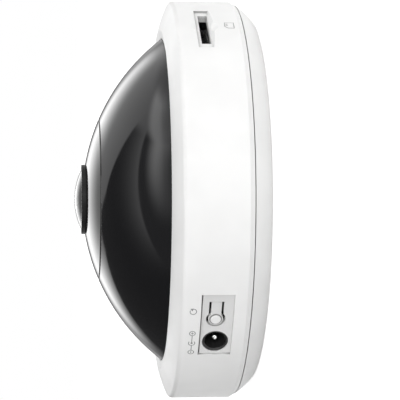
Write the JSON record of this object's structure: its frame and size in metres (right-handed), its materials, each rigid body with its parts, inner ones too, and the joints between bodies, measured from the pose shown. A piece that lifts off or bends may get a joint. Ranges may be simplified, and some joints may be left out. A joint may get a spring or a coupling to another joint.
{
  "type": "fisheye camera",
  "caption": "Round indoor network camera with a wide-angle lens in a black dome, white drum body, rim ports for power, reset and memory card, and a twist-lock ceiling plate.",
  "frame": {"origin": "centre of the flat back face, where the camera meets the ceiling or wall", "axes": "+Z along the lens's optical axis, away from the back; the port panel and the card slot sit on the rim on the -Y side, the panel towards -X and the card slot towards +X"},
  "size_m": [0.13, 0.13, 0.057],
  "materials": {
    "white_shell": "satin white",
    "panel_white": "fine matt white",
    "plate_white": "satin white, hidden behind the camera",
    "dome_black": "polished smoked black",
    "cap_black": "polished black",
    "bezel_black": "satin black",
    "lens_glass": "coated optical glass",
    "filter_glass": "coated filter glass",
    "barrel_black": "black anodised",
    "inner_black": "matt black",
    "seal_rubber": "soft matt",
    "chassis_grey": "fine grain",
    "screw_steel": "zinc plated",
    "standoff_brass": "turned",
    "board_green": "solder resist over glass fibre",
    "ribbon_white": "flat cable film",
    "socket_beige": "moulded",
    "chip_black": "moulded epoxy",
    "pad_grey": "soft filled silicone",
    "sink_aluminium": "extruded",
    "lamp_clear": "clear epoxy",
    "coil_copper": "lacquered winding",
    "magnet_steel": "nickel plated",
    "jack_black": "moulded",
    "pin_chrome": "nickel plated",
    "switch_white": "moulded",
    "socket_steel": "folded sheet",
    "carriage_black": "moulded",
    "contact_gold": "gold plated"
  },
  "bodies": {
    "camera": {"board_screws": "screw_steel", "capacitors": "sink_aluminium", "card_socket_base": "jack_black", "card_socket_shell": "socket_steel", "centre_cap": "cap_black", "chassis": "chassis_grey", "chassis_screws": "screw_steel", "cover_screws": "screw_steel", "dc_jack_body": "jack_black", "dc_jack_pin": "pin_chrome", "dome_cover": "dome_black", "dome_gasket": "seal_rubber", "ethernet_contacts": "contact_gold", "ethernet_insert": "jack_black", "ethernet_shell": "socket_steel", "front_housing": "white_shell", "front_lens": "lens_glass", "heat_sink": "sink_aluminium", "holder_screws": "screw_steel", "image_sensor": "chip_black", "ir_filter_coil": "coil_copper", "ir_leds": "lamp_clear", "led_board": "board_green", "led_standoffs": "standoff_brass", "lens_barrel": "barrel_black", "lens_bezel": "bezel_black", "lens_holder": "inner_black", "lens_shroud": "inner_black", "lens_spacer": "barrel_black", "light_sensor": "lamp_clear", "main_board": "board_green", "port_panel": "panel_white", "processor": "chip_black", "rear_cover": "white_shell", "rear_lens": "lens_glass", "reset_switch_body": "jack_black", "ribbon_sockets": "socket_beige", "second_lens": "lens_glass", "sensor_board": "board_green", "sensor_ribbon": "ribbon_white", "sensor_standoffs": "standoff_brass", "thermal_pad": "pad_grey"},
    "mount_plate": {"mount_plate": "plate_white"},
    "reset_tongue": {"reset_tongue": "panel_white"},
    "reset_switch_plunger": {"reset_switch_plunger": "switch_white"},
    "ir_filter": {"ir_filter_frame": "inner_black", "ir_filter_glass": "filter_glass"},
    "ir_filter_rotor": {"ir_filter_rotor": "magnet_steel"},
    "card_carriage": {"card_carriage": "carriage_black"}
  },
  "joints": [
    {"name": "mount_twist", "type": "hinge", "parent": "camera", "child": "mount_plate", "pos_m": [0, 0, 0], "axis": [0, 0, 1], "range_deg": [0, 20]},
    {"name": "reset_press", "type": "hinge", "parent": "camera", "child": "reset_tongue", "pos_m": [-0.02982, -0.05603, 0.01615], "axis": [0, 0, -1], "range_deg": [0, 3], "stiffness_Nm_per_rad": 0.065},
    {"name": "reset_switch_travel", "type": "slide", "parent": "camera", "child": "reset_switch_plunger", "axis": [0.5835, 0.8121, 0], "range_m": [0, 0.00038]},
    {"name": "ir_rotor_turn", "type": "hinge", "parent": "camera", "child": "ir_filter_rotor", "pos_m": [0, 0.0132, 0.0378], "axis": [0, 0, 1], "range_deg": [0, 58.17]},
    {"name": "ir_filter_slide", "type": "slide", "parent": "camera", "child": "ir_filter", "axis": [1, 0, 0], "range_m": [0, 0.007]},
    {"name": "card_eject", "type": "slide", "parent": "camera", "child": "card_carriage", "axis": [-0.8171, 0.5764, 0], "range_m": [0, 0.0042], "stiffness_N_per_m": 150, "springref_m": -0.001}
  ],
  "couplings": [
    {"joint": "reset_switch_travel", "follows": "reset_press", "m_per_rad": 0.007},
    {"joint": "ir_filter_slide", "follows": "ir_rotor_turn", "m_per_rad": 0.006894}
  ]
}
